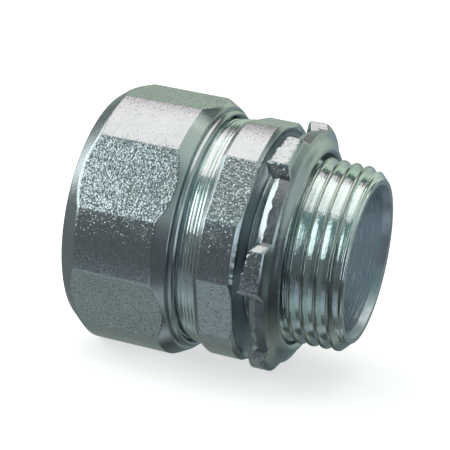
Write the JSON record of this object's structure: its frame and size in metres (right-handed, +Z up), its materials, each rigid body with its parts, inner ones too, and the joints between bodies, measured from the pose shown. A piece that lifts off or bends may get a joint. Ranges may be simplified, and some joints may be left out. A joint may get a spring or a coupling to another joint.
{
  "type": "conduit compression connector",
  "caption": "Steel threadless conduit connector: hexagonal gland nut over a split ring, hexagonal collar, tapered hub thread and stamped lugged locknut.",
  "frame": {"origin": "on the fitting's axis, in the plane of the collar face that seats on the box wall", "axes": "+X out of the threaded end, -X out of the conduit end, +Z up with a flat of the gland nut facing down"},
  "size_m": [0.0389, 0.0372, 0.0358],
  "materials": {
    "plated_body": "bright zinc plate over turned and cold drawn steel",
    "plated_ring": "zinc plate over turned steel",
    "plated_nut": "zinc plate over grainy drawn steel flats and turned ends",
    "plated_locknut": "zinc plate over stamped steel, sheared at the lugs"
  },
  "bodies": {
    "connector_body": {"connector_body": "plated_body"},
    "compression_ring": {"compression_ring": "plated_ring"},
    "gland_nut": {"gland_nut": "plated_nut"},
    "locknut": {"locknut": "plated_locknut"}
  },
  "joints": [
    {"name": "ring_travel", "type": "slide", "parent": "connector_body", "child": "compression_ring", "axis": [1, 0, 0], "range_m": [-0.0032, 0.0011]},
    {"name": "nut_turn", "type": "hinge", "parent": "compression_ring", "child": "gland_nut", "pos_m": [-0.0167, 0, 0], "axis": [1, 0, 0], "range_deg": [-1080, 360]},
    {"name": "locknut_travel", "type": "slide", "parent": "connector_body", "child": "locknut", "axis": [1, 0, 0], "range_m": [-0.0007, 0.0085]}
  ],
  "couplings": [
    {"joint": "ring_travel", "follows": "nut_turn", "m_per_rad": 0.00016844}
  ]
}
